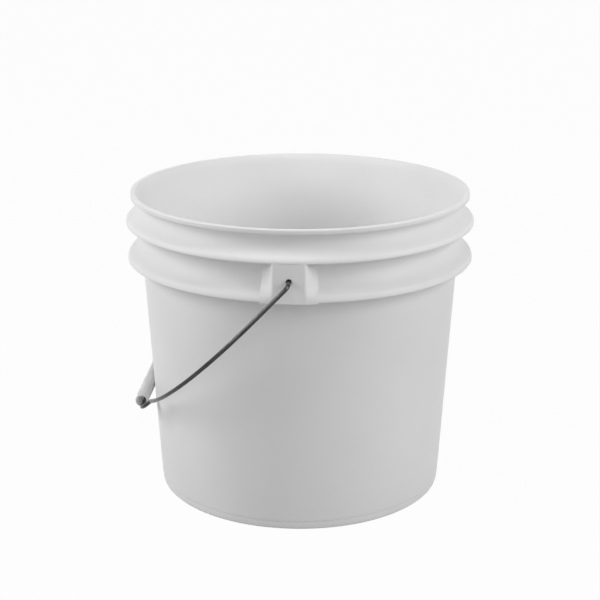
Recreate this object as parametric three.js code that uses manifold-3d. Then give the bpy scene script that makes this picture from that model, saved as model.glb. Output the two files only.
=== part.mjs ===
// A moulded plastic pail with a wire bail and a loose tubular grip.
// Millimetres, +Z up. The origin is the centre of the foot ring, on the floor.
// The bail ears are on -Y and +Y, and the bail rests down on the -X side.
import * as THREE from "three";
import Module from "manifold-3d";
import { mergeVertices } from "three/addons/utils/BufferGeometryUtils.js";

// Body
const height = 271.5;
const baseRadius = 128.1;
const wallTaper = 0.059;
const wall = 2;
const floorThickness = 2.4;
const floorLift = 4.5;
const footRingWidth = 4.5;
const heelHeight = 7;
const heelStep = 0.35;
const heelRound = 2;
const cornerRound = 7;

// Rim bead
const rimOverhang = 5.9;
const rimWidth = 4.6;
const rimDepth = 4;
const rimRound = 1;
const rimFlareDepth = 6.5;
const rimUndercut = 3;
const rimInnerRoundDeg = 60;

// The two skirts that run round the body, open underneath. Each overhangs the wall at its lip.
const skirtWall = 2;
const skirtLipRound = 0.9;
const skirtRootDeg = 188;
const upperSkirt = { overhang: 11.9, bottom: 244.2, height: 16.6, lipCurve: 4.7 };
const lowerSkirt = { overhang: 13, bottom: 211.8, height: 22.4, lipCurve: 7 };

// Ears
const earProud = 0.4;
const earFaceWidth = 26.8;
const earRootWidth = 43;
const earWall = 2.2;
const earEdgeRound = 1.4;
const earInnerRound = 0.3;
const earHollowStandOff = 0.15;
const earDrop = 0.5;
const earOverlap = 1.6;
const earHoleRadius = 3;
const pivotRise = 17.6;

// Bail wire
const wireRadius = 1.9;
const seatGap = 0.3;
const hookLength = 5;
const hookBend = 3;
const hookInset = 0.3;
const legBend = 4.4;
const legClearance = 13.4;
const legLength = 36;
const shoulderDistance = 80.5;
const shoulderSlope = THREE.MathUtils.degToRad(60);
const shoulderBend = 6;
const gripBend = 5;
const gripDepth = 200;

// Grip
const gripNearLength = 52;
const gripFarLength = 50;
const gripStepLength = 3;
const gripRadius = 5.9;
const gripWaistRadius = 5.3;
const gripEndRadius = 5.7;
const gripBore = 4.4;
const gripEdge = 0.5;

// Facets: curves stay within the chord error of the true arc
const chordError = 0.1;
const bodyFacets = 72;
const wireFacets = 10;
const gripFacets = 24;
const holeFacets = 24;
const earRoundSteps = 3;
const weldDistance = 1e-5;
const cutMargin = 5;
const edgeTolerance = 0.01;

const wasm = await Module();
wasm.setup();

const wallRadius = (z) => baseRadius + wallTaper * z;
const skirtRadius = (skirt) => wallRadius(skirt.bottom) + skirt.overhang;

const earFaceDistance = skirtRadius(lowerSkirt) + earProud;
const pivotHeight = lowerSkirt.bottom + pivotRise;
const legDistance = earFaceDistance + legClearance;

function solidFrom(geometry) {
  const bare = geometry.clone();
  bare.deleteAttribute("normal");
  bare.deleteAttribute("uv");
  const welded = mergeVertices(bare, weldDistance);
  return new wasm.Manifold(
    new wasm.Mesh({
      numProp: 3,
      vertProperties: new Float32Array(welded.attributes.position.array),
      triVerts: new Uint32Array(welded.index.array),
    }),
  );
}

function geometryFrom(solid) {
  const mesh = solid.getMesh();
  const geometry = new THREE.BufferGeometry();
  geometry.setAttribute("position", new THREE.BufferAttribute(mesh.vertProperties, 3));
  geometry.setIndex(new THREE.BufferAttribute(mesh.triVerts, 1));
  geometry.computeVertexNormals();
  return geometry;
}

// Revolves a closed outline of (radius, height) points, drawn anticlockwise, about +Z.
function revolve(outline, facets) {
  return new THREE.LatheGeometry([...outline, outline[0].clone()], facets).rotateX(Math.PI / 2);
}

function extrudeUp(shape, bottom, top) {
  const geometry = new THREE.ExtrudeGeometry(shape, {
    depth: top - bottom,
    bevelEnabled: false,
    curveSegments: earRoundSteps,
  });
  return geometry.translate(0, 0, bottom);
}

// How many chords an arc of this radius and turn needs.
function arcSteps(radius, turn) {
  const chordTurn = 2 * Math.acos(1 - Math.min(chordError / radius, 1));
  return Math.max(1, Math.ceil(Math.abs(turn) / chordTurn - edgeTolerance));
}

// Points on an arc of the (radius, height) plane, ends included.
function arc(centreR, centreZ, radius, fromDeg, toDeg) {
  const steps = arcSteps(radius, THREE.MathUtils.degToRad(toDeg - fromDeg));
  return Array.from({ length: steps + 1 }, (_, i) => {
    const angle = THREE.MathUtils.degToRad(fromDeg + ((toDeg - fromDeg) * i) / steps);
    return new THREE.Vector2(centreR + radius * Math.cos(angle), centreZ + radius * Math.sin(angle));
  });
}

const at = (r, z) => new THREE.Vector2(r, z);

// A skirt leaves the wall on a hollow curve and rolls over into an upright lip.
// Its outer and inner faces are the same S-curve, one skirt thickness apart.
function skirtOutline(skirt) {
  const lipBase = skirt.bottom + skirtLipRound;
  const rootHeight = lipBase + skirt.height;
  const root = wallRadius(rootHeight);
  const radius = skirtRadius(skirt);
  const turn = 2 * Math.atan((radius - root) / skirt.height);
  const turnDeg = THREE.MathUtils.radToDeg(turn);
  const hollowCurve = skirt.height / Math.sin(turn) - skirt.lipCurve;
  const rootCentre = root + hollowCurve;
  const lipCentre = radius - skirt.lipCurve;
  const outer = [
    ...arc(rootCentre, rootHeight, hollowCurve, 180, 180 + turnDeg),
    ...arc(lipCentre, lipBase, skirt.lipCurve, turnDeg, 0).slice(1),
  ];
  const lip = arc(radius - skirtLipRound, lipBase, skirtLipRound, 0, -90).slice(1);
  const inner = [
    at(radius - skirtWall, skirt.bottom),
    ...arc(lipCentre, lipBase, skirt.lipCurve - skirtWall, 0, turnDeg),
    ...arc(rootCentre, rootHeight, hollowCurve + skirtWall, 180 + turnDeg, skirtRootDeg).slice(1),
  ];
  const underside = inner.filter((p) => p.x > wallRadius(p.y) + edgeTolerance);
  const wallTop = underside[underside.length - 1].y - skirtWall;
  return [...outer, ...lip, ...underside, at(wallRadius(wallTop), wallTop)];
}

// Half section of the whole shell, listed from the rim down the outside and back up the inside.
function shellOutline() {
  const rimRadius = wallRadius(height) + rimOverhang;
  const rimInnerRadius = rimRadius - rimWidth;
  const beadBottom = height - rimDepth;
  const neck = wallRadius(beadBottom);
  const rim = [
    ...arc(rimInnerRadius + rimRound, height - rimRound, rimRound, 90 + rimInnerRoundDeg, 90),
    ...arc(rimRadius - rimRound, height - rimRound, rimRound, 90, 0),
    ...arc(rimRadius - rimRound / 2, beadBottom + rimRound / 2, rimRound / 2, 0, -90),
    ...arc(neck + rimUndercut, beadBottom - rimUndercut, rimUndercut, 90, 180),
  ];
  const heelFoot = baseRadius - heelStep - heelRound;
  const heel = [
    at(wallRadius(heelHeight), heelHeight),
    at(wallRadius(heelHeight) - heelStep, heelHeight - heelStep),
    ...arc(heelFoot, heelRound, heelRound, 0, -90),
  ];
  const ringInner = heelFoot - footRingWidth;
  const underFloor = [at(ringInner, 0), at(ringInner - floorLift / 2, floorLift), at(0, floorLift)];
  const cornerHeight = floorLift + floorThickness + cornerRound;
  const flareHeight = height - rimFlareDepth;
  const inside = [
    at(0, floorLift + floorThickness),
    ...arc(wallRadius(cornerHeight) - wall - cornerRound, cornerHeight, cornerRound, -90, 0),
    at(wallRadius(flareHeight) - wall, flareHeight),
  ];
  return [
    ...rim, ...skirtOutline(upperSkirt), ...skirtOutline(lowerSkirt), ...heel, ...underFloor, ...inside,
  ].reverse();
}

// Plan of an ear on the -Y side, shrunk by an inset to give its hollow.
function earPlan(inset) {
  const face = -earFaceDistance + inset;
  const back = -wallRadius(lowerSkirt.bottom) + wall;
  const side = (earRootWidth - earFaceWidth) / 2 / (earFaceDistance + back);
  const sideInset = inset * (Math.hypot(1, side) - side);
  const faceHalf = earFaceWidth / 2 - sideInset;
  const rootHalf = faceHalf + side * (back - face);
  const round = Math.max(earEdgeRound - inset, earInnerRound);
  const shape = new THREE.Shape();
  shape.moveTo(rootHalf, back);
  shape.lineTo(-rootHalf, back);
  shape.lineTo(-faceHalf - side * round, face + round);
  shape.quadraticCurveTo(-faceHalf, face, -faceHalf + round, face);
  shape.lineTo(faceHalf - round, face);
  shape.quadraticCurveTo(faceHalf, face, faceHalf + side * round, face + round);
  shape.closePath();
  return shape;
}

// The body's own volume between two heights, grown or shrunk by an offset.
function wallCone(offset, bottom, top) {
  return revolve(
    [at(0, bottom), at(wallRadius(bottom) + offset, bottom), at(wallRadius(top) + offset, top), at(0, top)],
    bodyFacets,
  );
}

// An ear is a thin-walled box between the skirts, open underneath like them.
function makeBody() {
  const earBottom = lowerSkirt.bottom - earDrop;
  const earTop = upperSkirt.bottom + earOverlap;
  const boxCore = solidFrom(wallCone(-wall / 2, earBottom - cutMargin, earTop + cutMargin));
  const hollowCore = solidFrom(wallCone(earHollowStandOff, earBottom - 2 * cutMargin, earTop + cutMargin));
  const box = solidFrom(extrudeUp(earPlan(0), earBottom, earTop)).subtract(boxCore);
  const hollow = solidFrom(extrudeUp(earPlan(earWall), earBottom - cutMargin, earTop)).subtract(hollowCore);
  const holeHeight = pivotHeight + earHoleRadius - wireRadius - seatGap;
  const hole = solidFrom(
    new THREE.CylinderGeometry(earHoleRadius, earHoleRadius, 3 * earWall, holeFacets)
      .translate(0, -earFaceDistance + earWall, holeHeight),
  );
  let body = solidFrom(revolve(shellOutline(), bodyFacets));
  for (const turn of [0, 180]) {
    body = body
      .add(box.rotate([0, 0, turn]))
      .subtract(hollow.rotate([0, 0, turn]))
      .subtract(hole.rotate([0, 0, turn]));
  }
  return geometryFrom(body);
}

// Centre line of the bail in its own plane: x is minus the distance below the pivots, y is
// minus the distance from the middle. It is drawn as straights and bends from one hooked end,
// and its second half mirrors the first.
function bailPoints() {
  const points = [];
  const pen = { s: 0, t: 0, heading: 0 };
  const put = () => points.push(new THREE.Vector3(-pen.t, -pen.s, 0));
  const forward = (length) => {
    pen.s += Math.cos(pen.heading) * length;
    pen.t += Math.sin(pen.heading) * length;
    put();
  };
  const bend = (radius, turn) => {
    const side = Math.sign(turn);
    const steps = arcSteps(radius + wireRadius, turn);
    const centreS = pen.s - side * Math.sin(pen.heading) * radius;
    const centreT = pen.t + side * Math.cos(pen.heading) * radius;
    for (let i = 0; i < steps; i++) {
      pen.heading += turn / steps;
      pen.s = centreS + side * Math.sin(pen.heading) * radius;
      pen.t = centreT - side * Math.cos(pen.heading) * radius;
      put();
    }
  };
  const quarter = Math.PI / 2;
  const hookDistance = earFaceDistance - earWall - hookInset - wireRadius;
  pen.s = hookDistance;
  pen.t = hookBend + hookLength;
  pen.heading = -quarter;
  put();
  forward(hookLength);
  bend(hookBend, quarter);
  forward(legDistance - legBend - hookBend - hookDistance);
  bend(legBend, quarter);
  forward(legLength - legBend);
  bend(legDistance, Math.acos(shoulderDistance / legDistance));
  bend(shoulderBend, Math.PI - shoulderSlope - pen.heading);
  const rounding = gripBend * (1 - Math.cos(shoulderSlope));
  forward((gripDepth - pen.t - rounding) / Math.sin(shoulderSlope));
  bend(gripBend, shoulderSlope);
  const mirrored = points.map((p) => new THREE.Vector3(p.x, -p.y, 0)).reverse();
  return [...points, ...mirrored];
}

// A path through given points that keeps their own spacing, so bends stay smooth.
class PointPath extends THREE.Curve {
  constructor(points) {
    super();
    this.points = points;
  }
  getPointAt(u) {
    const last = this.points.length - 1;
    const place = Math.min(u * last, last);
    const i = Math.min(Math.floor(place + edgeTolerance), last - 1);
    return this.points[i].clone().lerp(this.points[i + 1], place - i);
  }
  getTangentAt(u) {
    const last = this.points.length - 1;
    const i = Math.round(u * last);
    const before = this.points[Math.max(i - 1, 0)];
    const after = this.points[Math.min(i + 1, last)];
    return after.clone().sub(before).normalize();
  }
}

function makeWire() {
  const points = bailPoints();
  const section = new THREE.Shape().absarc(0, 0, wireRadius, 0, 2 * Math.PI);
  return new THREE.ExtrudeGeometry(section, {
    steps: points.length - 1,
    curveSegments: wireFacets / 2,
    extrudePath: new PointPath(points),
  });
}

// The grip is a loose tube whose two drafted halves meet at a small step.
function makeGrip() {
  const outline = [
    at(gripBore, -gripNearLength),
    at(gripEndRadius - gripEdge, -gripNearLength),
    at(gripEndRadius, -gripNearLength + gripEdge),
    at(gripRadius, 0),
    at(gripWaistRadius, gripStepLength),
    at(gripEndRadius, gripFarLength - gripEdge),
    at(gripEndRadius - gripEdge, gripFarLength),
    at(gripBore, gripFarLength),
  ];
  return new THREE.LatheGeometry([...outline, outline[0].clone()], gripFacets);
}

// The bail hangs until its grip meets the wall. The wire bears on the inner side of the bore.
const gripOffset = gripBore - wireRadius - seatGap;
const gripReach = Math.hypot(gripDepth, gripOffset);
const taperAngle = Math.atan(wallTaper);
const pivotToWall = wallRadius(pivotHeight) * Math.cos(taperAngle);
const restAngle =
  taperAngle +
  Math.acos((pivotToWall + gripRadius + seatGap) / gripReach) +
  Math.atan(gripOffset / gripDepth);

const plastic = new THREE.MeshStandardMaterial({ color: 0xececec, roughness: 0.42, metalness: 0 });
const steel = new THREE.MeshStandardMaterial({ color: 0xa8aaad, roughness: 0.32, metalness: 1 });
const gripPlastic = new THREE.MeshStandardMaterial({ color: 0xf0f0f0, roughness: 0.45, metalness: 0 });

function piece(name, geometry, material) {
  const mesh = new THREE.Mesh(geometry, material);
  mesh.name = name;
  return mesh;
}

const pail = new THREE.Group();
pail.add(piece("pail_body", makeBody(), plastic));

const bail = new THREE.Group();
bail.position.z = pivotHeight;
bail.rotation.y = -restAngle;
bail.add(piece("bail_wire", makeWire(), steel));
const grip = piece("bail_grip", makeGrip(), gripPlastic);
grip.position.set(-gripDepth, 0, gripOffset);
bail.add(grip);
pail.add(bail);

export default pail;
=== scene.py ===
"""A white moulded pail with a zinc wire bail and a loose white grip, on a plain studio floor."""
import math

import bmesh
import bpy
from mathutils import Matrix, Vector


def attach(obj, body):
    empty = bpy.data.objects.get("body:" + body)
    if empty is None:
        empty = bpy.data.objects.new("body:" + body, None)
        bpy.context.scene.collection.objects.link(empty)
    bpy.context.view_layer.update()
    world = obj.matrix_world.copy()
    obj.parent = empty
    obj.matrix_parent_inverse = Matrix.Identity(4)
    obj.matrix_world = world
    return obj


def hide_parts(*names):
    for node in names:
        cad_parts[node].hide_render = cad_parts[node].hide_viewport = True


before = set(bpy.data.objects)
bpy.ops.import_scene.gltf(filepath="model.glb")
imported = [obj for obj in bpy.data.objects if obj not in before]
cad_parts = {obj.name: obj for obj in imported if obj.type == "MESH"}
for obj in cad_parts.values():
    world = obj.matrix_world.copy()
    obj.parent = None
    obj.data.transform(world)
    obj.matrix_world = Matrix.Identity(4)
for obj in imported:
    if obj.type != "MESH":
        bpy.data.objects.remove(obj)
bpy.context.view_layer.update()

MM = 0.001

# Body, in millimetres
HEIGHT = 271.5
BASE_RADIUS = 128.1
WALL_TAPER = 0.059
WALL = 2.0
FLOOR_THICKNESS = 2.4
FLOOR_LIFT = 4.5
FOOT_RING_WIDTH = 4.5
HEEL_HEIGHT = 7.0
HEEL_STEP = 0.35
HEEL_ROUND = 2.0
HEEL_GROOVE = 0.35
HEEL_GROOVE_HALF = 1.0
CORNER_ROUND = 7.0
RIM_OVERHANG = 5.9
RIM_WIDTH = 4.6
RIM_DEPTH = 4.0
RIM_ROUND = 1.0
RIM_FLARE_DEPTH = 6.5
RIM_UNDERCUT = 3.0
SKIRT_WALL = 2.0
SKIRT_LIP_ROUND = 0.9
SKIRT_ROOT_DEG = 188
WALL_TOUCH = 0.01
UPPER_SKIRT = {"overhang": 11.9, "bottom": 244.2, "height": 16.6, "lip_curve": 4.7}
LOWER_SKIRT = {"overhang": 13.0, "bottom": 211.8, "height": 22.4, "lip_curve": 7.0}
RIM_INNER_START_DEG = 150
CUT_MARGIN = 5.0

# Rings this far past the ends of the straight wall keep its smooth shading true
WALL_MARGIN = 1.0
SAME_POINT = 1e-9

# Facets round each solid and steps along each curve of its section
BODY_FACETS = 240
HOLE_FACETS = 40
WIRE_FACETS = 20
GRIP_FACETS = 64
HOLLOW_STEPS = 14
UNDER_HOLLOW_STEPS = 8
LIP_STEPS = 9
UNDER_LIP_STEPS = 4
EDGE_STEPS = 5
RIM_INNER_STEPS = 4
RIM_UNDER_STEPS = 3
RIM_NECK_STEPS = 7
HEEL_STEPS = 7
CORNER_STEPS = 8
GRIP_EDGE_STEPS = 4
BAIL_DETAIL = 4
BODY_SHARP_DEG = 32
WIRE_SHARP_DEG = 50
GRIP_SHARP_DEG = 30

# Ears, in millimetres
EAR_PROUD = 0.4
EAR_FACE_WIDTH = 26.8
EAR_ROOT_WIDTH = 43.0
EAR_WALL = 2.2
EAR_EDGE_ROUND = 1.6
EAR_ROOT_SPREAD = 2.5
EAR_INNER_ROUND = 0.3
EAR_HOLLOW_STAND_OFF = 0.15
EAR_EDGE_STEPS = 6
EAR_BACK_STEPS = 12
EAR_LEVELS = 24
EAR_DROP = 0.5
EAR_OVERLAP = 1.6
EAR_HOLE_RADIUS = 2.6
EAR_HOLE_LENGTH = 6.6

# Bail and grip, in millimetres
WIRE_RADIUS = 1.9
PIVOT_RISE = 17.6
SEAT_GAP = 0.3
HOOK_LENGTH = 5.0
HOOK_BEND = 3.0
HOOK_INSET = 0.3
LEG_BEND = 4.4
LEG_CLEARANCE = 13.4
LEG_LENGTH = 36.0
SHOULDER_DISTANCE = 80.5
SHOULDER_SLOPE = math.radians(60)
SHOULDER_BEND = 6.0
GRIP_BEND = 20.0
GRIP_DEPTH = 200.0
GRIP_NEAR_LENGTH = 52.0
GRIP_FAR_LENGTH = 50.0
GRIP_STEP_LENGTH = 3.0
GRIP_RADIUS = 5.9
GRIP_WAIST_RADIUS = 5.3
GRIP_END_RADIUS = 5.7
GRIP_BORE = 4.4
GRIP_EDGE = 0.5
GRIP_STEP_BEVEL = 0.4
GRIP_STEP_ROUND = 0.1
GRIP_WAIST_ROUND = 0.05
WIRE_SKIN = 0.1

# Camera: metres, degrees and millimetres of lens
CAMERA_DISTANCE = 1.257
CAMERA_HEIGHT = 0.561
CAMERA_AZIMUTH = 3.33
CAMERA_PITCH = 17.41
CAMERA_LENS = 86.9
CAMERA_SENSOR = 36

# Studio: metres and watts
FLOOR_SIZE = 60
FLOOR_TONE = 0.4
FLOOR_ROUGHNESS = 0.9
FLOOR_GLOW = 0.97
WORLD_STRENGTH = 0.12
LAMP_AIM = (0, 0, 0.15)
LAMPS = {
    "top_soft": {"place": (0.0, -0.1, 1.9), "size": (1.3, 1.3), "power": 10},
    "left_soft": {"place": (-1.6, -0.65, 1.05), "size": (0.8, 1.2), "power": 13},
    "right_soft": {"place": (1.6, -0.65, 1.05), "size": (0.8, 1.2), "power": 20},
    "left_strip": {"place": (-1.5, -0.1, 0.95), "size": (0.25, 0.9), "power": 7},
    "front_fill": {"place": (-0.1, -2.3, 0.4), "size": (2.4, 1.0), "power": 7},
}

# Finishes: linear colours, roughness, noise scales per metre and bump depths in metres
BODY_TONES = ((0.78, 0.78, 0.78), (0.82, 0.82, 0.82))
GRIP_TONES = ((0.80, 0.80, 0.80), (0.84, 0.84, 0.84))
ZINC_TONES = ((0.040, 0.040, 0.041), (0.070, 0.070, 0.071))
TONE_STOPS = (0.3, 0.7)
BODY_ROUGHNESS = 0.40
GRIP_ROUGHNESS = 0.42
SCUFF_RANGE = (-0.05, 0.07)
ZINC_ROUGHNESS = (0.18, 0.28)
PLASTIC_IOR = 1.5
PLASTIC_SPECULAR = 0.12
BODY_TRANSLUCENCY = 0.0
GRIP_TRANSLUCENCY = 1.0
TRANSLUCENT_RADIUS = (1, 1, 1)
TRANSLUCENT_SCALE = 0.008
MOTTLE = {"scale": 9.0, "detail": 4.0}
SCUFFS = {"scale": 60.0, "detail": 6.0, "stretch": (1, 1, 0.25)}
WAVES = {"scale": 22.0, "detail": 2.0}
WAVE_BUMP = {"strength": 0.25, "distance": 0.0006}
SKIN = {"scale": 900.0, "detail": 3.0}
SKIN_BUMP = {"strength": 0.12, "distance": 0.0001}
BLOOM = {"scale": 70.0, "detail": 5.0}
GRAIN = {"scale": 1500.0, "detail": 3.0}
GRAIN_BUMP = {"strength": 0.15, "distance": 0.00005}


def wall_radius(z):
    return BASE_RADIUS + WALL_TAPER * z


def skirt_radius(skirt):
    return wall_radius(skirt["bottom"]) + skirt["overhang"]


RIM_RADIUS = wall_radius(HEIGHT) + RIM_OVERHANG
RIM_INNER_RADIUS = RIM_RADIUS - RIM_WIDTH
EAR_FACE_DISTANCE = skirt_radius(LOWER_SKIRT) + EAR_PROUD
PIVOT_HEIGHT = LOWER_SKIRT["bottom"] + PIVOT_RISE
LEG_DISTANCE = EAR_FACE_DISTANCE + LEG_CLEARANCE


def arc(centre_r, centre_z, radius, from_deg, to_deg, steps):
    """Points on an arc of the (radius, height) plane, ends included."""
    points = []
    for i in range(steps + 1):
        angle = math.radians(from_deg + (to_deg - from_deg) * i / steps)
        points.append((centre_r + radius * math.cos(angle), centre_z + radius * math.sin(angle)))
    return points


def skirt_curve(skirt):
    """Heights of the lip's base and of the root, the turn between them and the hollow's radius."""
    lip_base = skirt["bottom"] + SKIRT_LIP_ROUND
    root_z = lip_base + skirt["height"]
    turn = 2 * math.atan((skirt_radius(skirt) - wall_radius(root_z)) / skirt["height"])
    hollow = skirt["height"] / math.sin(turn) - skirt["lip_curve"]
    return lip_base, root_z, turn, hollow


def skirt_outline(skirt):
    """A skirt leaves the wall on a hollow curve and rolls over into an upright lip."""
    lip_base, root_z, turn, hollow = skirt_curve(skirt)
    turn_deg = math.degrees(turn)
    radius = skirt_radius(skirt)
    lip_centre = radius - skirt["lip_curve"]
    hollow_centre = wall_radius(root_z) + hollow
    outer = arc(hollow_centre, root_z, hollow, 180, 180 + turn_deg, HOLLOW_STEPS)
    outer += arc(lip_centre, lip_base, skirt["lip_curve"], turn_deg, 0, LIP_STEPS)[1:]
    lip = arc(radius - SKIRT_LIP_ROUND, lip_base, SKIRT_LIP_ROUND, 0, -90, EDGE_STEPS)[1:]
    inner = [(radius - SKIRT_WALL, skirt["bottom"])]
    inner += arc(lip_centre, lip_base, skirt["lip_curve"] - SKIRT_WALL, 0, turn_deg, UNDER_LIP_STEPS)
    inner += arc(
        hollow_centre, root_z, hollow + SKIRT_WALL, 180 + turn_deg, SKIRT_ROOT_DEG, UNDER_HOLLOW_STEPS)[1:]
    underside = [p for p in inner if p[0] > wall_radius(p[1]) + WALL_TOUCH]
    low = underside[-1][1] - SKIRT_WALL
    below = low - WALL_MARGIN
    return outer + lip + underside + [(wall_radius(low), low), (wall_radius(below), below)]


def shell_outline():
    """Half section of the shell, from the rim down the outside and back up the inside."""
    bead_bottom = HEIGHT - RIM_DEPTH
    neck = wall_radius(bead_bottom)
    rim = arc(
        RIM_INNER_RADIUS + RIM_ROUND, HEIGHT - RIM_ROUND, RIM_ROUND, RIM_INNER_START_DEG, 90, RIM_INNER_STEPS)
    rim += arc(RIM_RADIUS - RIM_ROUND, HEIGHT - RIM_ROUND, RIM_ROUND, 90, 0, EDGE_STEPS)
    under_round = RIM_ROUND / 2
    rim += arc(RIM_RADIUS - under_round, bead_bottom + under_round, under_round, 0, -90, RIM_UNDER_STEPS)
    rim += arc(
        neck + RIM_UNDERCUT, bead_bottom - RIM_UNDERCUT, RIM_UNDERCUT, 90, 180, RIM_NECK_STEPS)
    groove_top = HEEL_HEIGHT + HEEL_GROOVE_HALF
    groove_bottom = HEEL_HEIGHT - HEEL_GROOVE_HALF
    above = groove_top + WALL_MARGIN
    heel = [(wall_radius(above), above), (wall_radius(groove_top), groove_top)]
    heel += [(wall_radius(HEEL_HEIGHT) - HEEL_GROOVE, HEEL_HEIGHT)]
    heel += [(wall_radius(groove_bottom) - HEEL_STEP / 2, groove_bottom)]
    heel += arc(BASE_RADIUS - HEEL_STEP - HEEL_ROUND, HEEL_ROUND, HEEL_ROUND, 0, -90, HEEL_STEPS)
    ring_inner = BASE_RADIUS - HEEL_STEP - HEEL_ROUND - FOOT_RING_WIDTH
    under = [(ring_inner, 0), (ring_inner - FLOOR_LIFT / 2, FLOOR_LIFT), (0, FLOOR_LIFT)]
    floor_top = FLOOR_LIFT + FLOOR_THICKNESS
    corner = wall_radius(floor_top + CORNER_ROUND) - WALL - CORNER_ROUND
    inside = [(0, floor_top)]
    inside += arc(corner, floor_top + CORNER_ROUND, CORNER_ROUND, -90, 0, CORNER_STEPS)
    inside += [(wall_radius(HEIGHT - RIM_FLARE_DEPTH) - WALL, HEIGHT - RIM_FLARE_DEPTH)]
    return rim + skirt_outline(UPPER_SKIRT) + skirt_outline(LOWER_SKIRT) + heel + under + inside


def link_mesh(name, work):
    """The finished bmesh as an object in the scene."""
    data = bpy.data.meshes.new(name)
    work.to_mesh(data)
    work.free()
    piece = bpy.data.objects.new(name, data)
    bpy.context.scene.collection.objects.link(piece)
    return piece


def revolve(name, outline, facets, axis="Z"):
    """A closed solid turned from a closed outline of (radius, height) points."""
    work = bmesh.new()
    rings = []
    for radius, height in outline:
        if radius < SAME_POINT:
            rings.append([work.verts.new((0, 0, height * MM))])
            continue
        ring = []
        for i in range(facets):
            angle = 2 * math.pi * i / facets
            ring.append(work.verts.new(
                (radius * MM * math.cos(angle), radius * MM * math.sin(angle), height * MM)))
        rings.append(ring)
    for low, high in zip(rings, rings[1:] + rings[:1]):
        if len(low) == 1 and len(high) == 1:
            continue
        for i in range(facets):
            j = (i + 1) % facets
            corners = [low[i % len(low)], low[j % len(low)], high[j % len(high)], high[i % len(high)]]
            work.faces.new(dict.fromkeys(corners))
    bmesh.ops.recalc_face_normals(work, faces=work.faces)
    if axis == "Y":
        work.transform(Matrix.Rotation(-math.pi / 2, 4, "X"))
    return link_mesh(name, work)


def lower_skirt_surface(z):
    """Outer radius of the body between the skirts, down over the lower skirt's flare to its lip."""
    lip_base, root_z, turn, hollow = skirt_curve(LOWER_SKIRT)
    lip_curve = LOWER_SKIRT["lip_curve"]
    if z >= root_z:
        return wall_radius(z)
    if z >= lip_base + lip_curve * math.sin(turn):
        return wall_radius(root_z) + hollow - math.sqrt(hollow ** 2 - (root_z - z) ** 2)
    drop = max(z - lip_base, 0)
    return skirt_radius(LOWER_SKIRT) - lip_curve + math.sqrt(lip_curve ** 2 - drop ** 2)


def ear_loop(corner, end, edge, back_radius):
    """Plan loop: a rounded face corner, a straight side to its end, and the back on a circle."""
    direction = (end - corner).normalized()
    start = corner + Vector((-edge, 0))
    finish = corner + direction * edge
    right = []
    for i in range(EAR_EDGE_STEPS + 1):
        u = i / EAR_EDGE_STEPS
        right.append(start * (1 - u) ** 2 + corner * 2 * u * (1 - u) + finish * u * u)
    right.append(end)
    half_angle = math.atan2(end.x, -end.y)
    back = []
    for i in range(EAR_BACK_STEPS + 1):
        angle = half_angle * (1 - 2 * i / EAR_BACK_STEPS)
        back.append(Vector((back_radius * math.sin(angle), -back_radius * math.cos(angle))))
    left = [Vector((-p.x, p.y)) for p in reversed(right)]
    return right + back + left


def ear_box_plan(z):
    """Each side runs from the face's edge to a line drawn on the body's own surface."""
    surface = lower_skirt_surface(z)
    climb = (z - LOWER_SKIRT["bottom"]) / (UPPER_SKIRT["bottom"] - LOWER_SKIRT["bottom"])
    root_half = EAR_ROOT_WIDTH / 2 + EAR_ROOT_SPREAD * (1 - min(max(climb, 0), 1))
    corner = Vector((EAR_FACE_WIDTH / 2, -EAR_FACE_DISTANCE))
    end = Vector((root_half, -math.sqrt(surface ** 2 - root_half ** 2)))
    return ear_loop(corner, end, EAR_EDGE_ROUND, wall_radius(z) - WALL / 2)


def ear_hollow_plan(z):
    """The hollow keeps one wall thickness behind the face and the sides."""
    back = wall_radius(z) + EAR_HOLLOW_STAND_OFF
    side = (EAR_ROOT_WIDTH - EAR_FACE_WIDTH) / 2 / (EAR_FACE_DISTANCE - wall_radius(z) + WALL)
    half = EAR_FACE_WIDTH / 2 - EAR_WALL * (math.hypot(1, side) - side)
    corner = Vector((half, -EAR_FACE_DISTANCE + EAR_WALL))
    root_half = half + side * (EAR_FACE_DISTANCE - EAR_WALL - back)
    end = Vector((root_half, -math.sqrt(back ** 2 - root_half ** 2)))
    return ear_loop(corner, end, EAR_INNER_ROUND, back)


def ear_prism(name, plan, bottom, top, levels):
    """Both ears' prisms, lofted through plans at even heights."""
    work = bmesh.new()
    for turn in (1, -1):
        loops = []
        for i in range(levels + 1):
            z = bottom + (top - bottom) * i / levels
            loops.append([work.verts.new((p.x * MM * turn, p.y * MM * turn, z * MM)) for p in plan(z)])
        for low, high in zip(loops, loops[1:]):
            for i in range(len(low)):
                j = (i + 1) % len(low)
                work.faces.new((low[i], low[j], high[j], high[i]))
        work.faces.new(loops[0])
        work.faces.new(loops[-1])
    bmesh.ops.recalc_face_normals(work, faces=work.faces)
    return link_mesh(name, work)


def ear_holes():
    height = PIVOT_HEIGHT + EAR_HOLE_RADIUS - WIRE_RADIUS - SEAT_GAP
    work = bmesh.new()
    for turn in (1, -1):
        place = Matrix.Translation((0, -turn * (EAR_FACE_DISTANCE - EAR_WALL) * MM, height * MM))
        bmesh.ops.create_cone(
            work, cap_ends=True, segments=HOLE_FACETS, radius1=EAR_HOLE_RADIUS * MM,
            radius2=EAR_HOLE_RADIUS * MM, depth=EAR_HOLE_LENGTH * MM,
            matrix=place @ Matrix.Rotation(math.pi / 2, 4, "X"))
    return link_mesh("ear_holes", work)


def boolean(piece, tool, operation):
    step = piece.modifiers.new(operation, "BOOLEAN")
    step.operation = operation
    step.solver = "EXACT"
    step.object = tool
    graph = bpy.context.evaluated_depsgraph_get()
    done = bpy.data.meshes.new_from_object(piece.evaluated_get(graph))
    piece.modifiers.clear()
    old = piece.data
    piece.data = done
    bpy.data.meshes.remove(old)
    bpy.data.objects.remove(tool)


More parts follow.
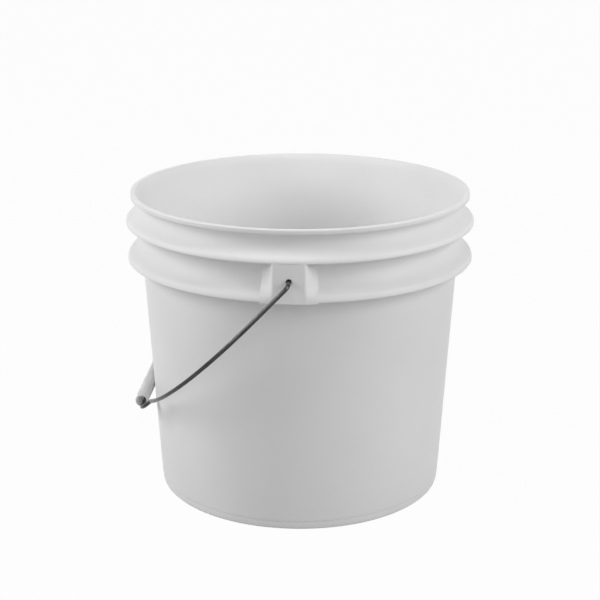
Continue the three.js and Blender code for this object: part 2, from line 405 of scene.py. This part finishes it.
def smooth(piece, angle_deg):
    for face in piece.data.polygons:
        face.use_smooth = True
    piece.data.set_sharp_from_angle(angle=math.radians(angle_deg))


def make_body():
    body = revolve("pail_shell", shell_outline(), BODY_FACETS)
    ear_bottom = LOWER_SKIRT["bottom"] - EAR_DROP
    ear_top = UPPER_SKIRT["bottom"] + EAR_OVERLAP
    boolean(body, ear_prism("ear_boxes", ear_box_plan, ear_bottom, ear_top, EAR_LEVELS), "UNION")
    hollow_bottom = ear_bottom - CUT_MARGIN
    boolean(body, ear_prism("ear_hollows", ear_hollow_plan, hollow_bottom, ear_top, 1), "DIFFERENCE")
    boolean(body, ear_holes(), "DIFFERENCE")
    smooth(body, BODY_SHARP_DEG)
    return body


def bail_points(detail):
    """Centre line of the bail in its plane: (distance below the pivots, distance from the middle)."""
    points = []
    pen = {"s": 0.0, "t": 0.0, "heading": 0.0}

    def put():
        points.append((pen["t"], pen["s"]))

    def forward(length, steps):
        for _ in range(steps):
            pen["s"] += math.cos(pen["heading"]) * length / steps
            pen["t"] += math.sin(pen["heading"]) * length / steps
            put()

    def bend(radius, turn, steps):
        side = math.copysign(1, turn)
        centre_s = pen["s"] - side * math.sin(pen["heading"]) * radius
        centre_t = pen["t"] + side * math.cos(pen["heading"]) * radius
        for _ in range(steps):
            pen["heading"] += turn / steps
            pen["s"] = centre_s + side * math.sin(pen["heading"]) * radius
            pen["t"] = centre_t - side * math.cos(pen["heading"]) * radius
            put()

    quarter = math.pi / 2
    hook = EAR_FACE_DISTANCE - EAR_WALL - HOOK_INSET - WIRE_RADIUS
    pen.update(s=hook, t=HOOK_BEND + HOOK_LENGTH, heading=-quarter)
    put()
    forward(HOOK_LENGTH, detail)
    bend(HOOK_BEND, quarter, 3 * detail)
    forward(LEG_DISTANCE - LEG_BEND - HOOK_BEND - hook, 2 * detail)
    bend(LEG_BEND, quarter, 4 * detail)
    forward(LEG_LENGTH - LEG_BEND, 2 * detail)
    bend(LEG_DISTANCE, math.acos(SHOULDER_DISTANCE / LEG_DISTANCE), 16 * detail)
    bend(SHOULDER_BEND, math.pi - SHOULDER_SLOPE - pen["heading"], 3 * detail)
    rounding = GRIP_BEND * (1 - math.cos(SHOULDER_SLOPE))
    forward((GRIP_DEPTH - pen["t"] - rounding) / math.sin(SHOULDER_SLOPE), detail)
    bend(GRIP_BEND, SHOULDER_SLOPE, 4 * detail)
    forward(pen["s"], 4 * detail)
    return points + [(t, -s) for t, s in reversed(points[:-1])]


def rest_angle():
    """How far the bail hangs below level when its grip meets the wall."""
    offset = GRIP_BORE - WIRE_RADIUS - SEAT_GAP
    taper = math.atan(WALL_TAPER)
    to_wall = wall_radius(PIVOT_HEIGHT) * math.cos(taper)
    reach = math.hypot(GRIP_DEPTH, offset)
    return taper + math.acos((to_wall + GRIP_RADIUS + SEAT_GAP) / reach) + math.atan(offset / GRIP_DEPTH)


def bail_matrix():
    turn = Matrix.Rotation(-rest_angle(), 4, "Y")
    return Matrix.Translation((0, 0, PIVOT_HEIGHT * MM)) @ turn


def make_wire():
    """A round tube swept along the bail's centre line, cut square at both ends."""
    points = [Vector((-t * MM, -s * MM, 0)) for t, s in bail_points(BAIL_DETAIL)]
    work = bmesh.new()
    up = Vector((0, 0, 1))
    radius = (WIRE_RADIUS - WIRE_SKIN) * MM
    rings = []
    last = len(points) - 1
    for i, point in enumerate(points):
        along = (points[min(i + 1, last)] - points[max(i - 1, 0)]).normalized()
        across = along.cross(up)
        ring = []
        for k in range(WIRE_FACETS):
            angle = 2 * math.pi * k / WIRE_FACETS
            ring.append(work.verts.new(
                point + (across * math.cos(angle) + up * math.sin(angle)) * radius))
        rings.append(ring)
    for low, high in zip(rings, rings[1:]):
        for k in range(WIRE_FACETS):
            n = (k + 1) % WIRE_FACETS
            work.faces.new((low[k], low[n], high[n], high[k]))
    work.faces.new(rings[0])
    work.faces.new(rings[-1])
    bmesh.ops.recalc_face_normals(work, faces=work.faces)
    work.transform(bail_matrix())
    piece = link_mesh("bail", work)
    smooth(piece, WIRE_SHARP_DEG)
    return piece


def make_grip():
    """A loose sleeve of two drafted halves that meet at a small step."""
    end_centre = GRIP_END_RADIUS - GRIP_EDGE
    near_centre = GRIP_NEAR_LENGTH - GRIP_EDGE
    far_centre = GRIP_EDGE - GRIP_FAR_LENGTH
    outline = [(GRIP_BORE, GRIP_NEAR_LENGTH)]
    outline += arc(end_centre, near_centre, GRIP_EDGE, 90, 0, GRIP_EDGE_STEPS)
    outline += [(GRIP_RADIUS, GRIP_STEP_BEVEL), (GRIP_RADIUS - GRIP_STEP_ROUND, 0)]
    outline += [(GRIP_WAIST_RADIUS + GRIP_WAIST_ROUND, GRIP_STEP_BEVEL - GRIP_STEP_LENGTH)]
    outline += [(GRIP_WAIST_RADIUS, -GRIP_STEP_LENGTH)]
    outline += arc(end_centre, far_centre, GRIP_EDGE, 0, -90, GRIP_EDGE_STEPS)
    outline += [(GRIP_BORE, -GRIP_FAR_LENGTH)]
    grip = revolve("grip_sleeve", outline, GRIP_FACETS, axis="Y")
    offset = GRIP_BORE - WIRE_RADIUS - SEAT_GAP
    place = bail_matrix() @ Matrix.Translation((-GRIP_DEPTH * MM, 0, offset * MM))
    flip = Matrix.Rotation(math.pi, 4, "X")
    grip.data.transform(place @ flip)
    smooth(grip, GRIP_SHARP_DEG)
    return grip


class Nodes:
    """Adds nodes to a shader tree by short calls."""

    def __init__(self, tree):
        self.tree = tree

    def add(self, kind):
        return self.tree.nodes.new(kind)

    def link(self, source, target):
        self.tree.links.new(source, target)

    def math(self, operation, first):
        node = self.add("ShaderNodeMath")
        node.operation = operation
        self.link(first, node.inputs[0])
        return node

    def noise(self, coords, scale, detail, stretch=(1, 1, 1)):
        mapping = self.add("ShaderNodeMapping")
        mapping.inputs["Scale"].default_value = stretch
        self.link(coords, mapping.inputs["Vector"])
        noise = self.add("ShaderNodeTexNoise")
        noise.inputs["Scale"].default_value = scale
        noise.inputs["Detail"].default_value = detail
        self.link(mapping.outputs["Vector"], noise.inputs["Vector"])
        return noise.outputs["Fac"]

    def ramp(self, source, tones):
        ramp = self.add("ShaderNodeValToRGB")
        for element, place, tone in zip(ramp.color_ramp.elements, TONE_STOPS, tones):
            element.position = place
            element.color = (*tone, 1)
        self.link(source, ramp.inputs["Fac"])
        return ramp.outputs["Color"]

    def spread(self, source, low, high):
        spread = self.add("ShaderNodeMapRange")
        spread.inputs["From Min"].default_value = TONE_STOPS[0]
        spread.inputs["From Max"].default_value = TONE_STOPS[1]
        spread.inputs["To Min"].default_value = low
        spread.inputs["To Max"].default_value = high
        self.link(source, spread.inputs["Value"])
        return spread.outputs["Result"]

    def bump(self, source, strength, distance):
        bump = self.add("ShaderNodeBump")
        bump.inputs["Strength"].default_value = strength
        bump.inputs["Distance"].default_value = distance
        self.link(source, bump.inputs["Height"])
        return bump


def new_material(name):
    material = bpy.data.materials.new(name)
    material.use_nodes = True
    nodes = Nodes(material.node_tree)
    return material, nodes, nodes.tree.nodes["Principled BSDF"]


def moulded_plastic(name, tones, roughness, translucency):
    """Satin white polyethylene: faint mottle, fine moulded skin, soft light scuffs."""
    material, n, shader = new_material(name)
    coords = n.add("ShaderNodeTexCoord").outputs["Object"]
    n.link(n.ramp(n.noise(coords, **MOTTLE), tones), shader.inputs["Base Color"])
    rough_low, rough_high = (roughness + step for step in SCUFF_RANGE)
    n.link(n.spread(n.noise(coords, **SCUFFS), rough_low, rough_high), shader.inputs["Roughness"])
    waves = n.bump(n.noise(coords, **WAVES), **WAVE_BUMP)
    skin = n.bump(n.noise(coords, **SKIN), **SKIN_BUMP)
    n.link(waves.outputs["Normal"], skin.inputs["Normal"])
    n.link(skin.outputs["Normal"], shader.inputs["Normal"])
    shader.inputs["IOR"].default_value = PLASTIC_IOR
    shader.inputs["Specular IOR Level"].default_value = PLASTIC_SPECULAR
    shader.inputs["Subsurface Weight"].default_value = translucency
    shader.inputs["Subsurface Radius"].default_value = TRANSLUCENT_RADIUS
    shader.inputs["Subsurface Scale"].default_value = TRANSLUCENT_SCALE
    return material


def zinc_wire(name):
    """Drawn wire with a bright zinc coat: a fine grain and a slight bloom."""
    material, n, shader = new_material(name)
    coords = n.add("ShaderNodeTexCoord").outputs["Object"]
    bloom = n.noise(coords, **BLOOM)
    n.link(n.ramp(bloom, ZINC_TONES), shader.inputs["Base Color"])
    n.link(n.spread(bloom, *ZINC_ROUGHNESS), shader.inputs["Roughness"])
    grain = n.bump(n.noise(coords, **GRAIN), **GRAIN_BUMP)
    n.link(grain.outputs["Normal"], shader.inputs["Normal"])
    shader.inputs["Metallic"].default_value = 1.0
    return material


def seen_rays(n):
    """1 for camera, mirror and glass rays, which see the plain white backdrop."""
    path = n.add("ShaderNodeLightPath")
    first = n.math("MAXIMUM", path.outputs["Is Camera Ray"])
    n.link(path.outputs["Is Glossy Ray"], first.inputs[1])
    second = n.math("MAXIMUM", first.outputs[0])
    n.link(path.outputs["Is Transmission Ray"], second.inputs[1])
    return second.outputs[0]


def studio_floor():
    """A wide pale floor that shows white and keeps a light contact shadow."""
    bpy.ops.mesh.primitive_plane_add(size=FLOOR_SIZE)
    floor = bpy.context.object
    floor.name = "studio_floor"
    material, n, shader = new_material("floor_white")
    shader.inputs["Base Color"].default_value = (FLOOR_TONE, FLOOR_TONE, FLOOR_TONE, 1)
    shader.inputs["Roughness"].default_value = FLOOR_ROUGHNESS
    glow = n.add("ShaderNodeEmission")
    glow.inputs["Color"].default_value = (1, 1, 1, 1)
    share = n.math("MULTIPLY", seen_rays(n))
    share.inputs[1].default_value = FLOOR_GLOW
    mix = n.add("ShaderNodeMixShader")
    n.link(share.outputs[0], mix.inputs["Fac"])
    n.link(shader.outputs["BSDF"], mix.inputs[1])
    n.link(glow.outputs["Emission"], mix.inputs[2])
    n.link(mix.outputs["Shader"], n.tree.nodes["Material Output"].inputs["Surface"])
    floor.data.materials.append(material)


def studio_world():
    """A dim white surround that camera, mirror and glass rays see as full white."""
    world = bpy.data.worlds.new("studio")
    bpy.context.scene.world = world
    world.use_nodes = True
    n = Nodes(world.node_tree)
    back = n.tree.nodes["Background"]
    back.inputs["Color"].default_value = (1, 1, 1, 1)
    level = n.add("ShaderNodeMapRange")
    n.link(seen_rays(n), level.inputs["Value"])
    level.inputs["To Min"].default_value = WORLD_STRENGTH
    level.inputs["To Max"].default_value = 1.0
    n.link(level.outputs["Result"], back.inputs["Strength"])


def studio_lights():
    """Soft rectangular lamps that aim at the middle of the pail and stay out of sight."""
    aim = Vector(LAMP_AIM)
    for name, lamp_values in LAMPS.items():
        data = bpy.data.lights.new(name, "AREA")
        data.shape = "RECTANGLE"
        data.size, data.size_y = lamp_values["size"]
        data.energy = lamp_values["power"]
        lamp = bpy.data.objects.new(name, data)
        bpy.context.scene.collection.objects.link(lamp)
        lamp.location = lamp_values["place"]
        lamp.rotation_euler = (aim - Vector(lamp_values["place"])).to_track_quat("-Z", "Y").to_euler()
        lamp.visible_camera = False


def studio_camera():
    data = bpy.data.cameras.new("camera")
    data.lens = CAMERA_LENS
    data.sensor_width = CAMERA_SENSOR
    camera = bpy.data.objects.new("camera", data)
    bpy.context.scene.collection.objects.link(camera)
    azimuth = math.radians(CAMERA_AZIMUTH)
    camera.location = (
        CAMERA_DISTANCE * math.sin(azimuth), -CAMERA_DISTANCE * math.cos(azimuth), CAMERA_HEIGHT)
    camera.rotation_euler = (math.radians(90 - CAMERA_PITCH), 0, azimuth)
    bpy.context.scene.camera = camera


studio_camera()
studio_floor()
studio_world()
studio_lights()
bpy.context.scene.view_settings.view_transform = "Standard"

body = make_body()
body_finish = moulded_plastic("body_white", BODY_TONES, BODY_ROUGHNESS, BODY_TRANSLUCENCY)
body.data.materials.append(body_finish)
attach(body, "pail")
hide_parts("pail_body")

wire = make_wire()
wire.data.materials.append(zinc_wire("zinc"))
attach(wire, "bail")
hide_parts("bail_wire")

grip = make_grip()
grip_finish = moulded_plastic("grip_white", GRIP_TONES, GRIP_ROUGHNESS, GRIP_TRANSLUCENCY)
grip.data.materials.append(grip_finish)
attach(grip, "grip")
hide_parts("bail_grip")
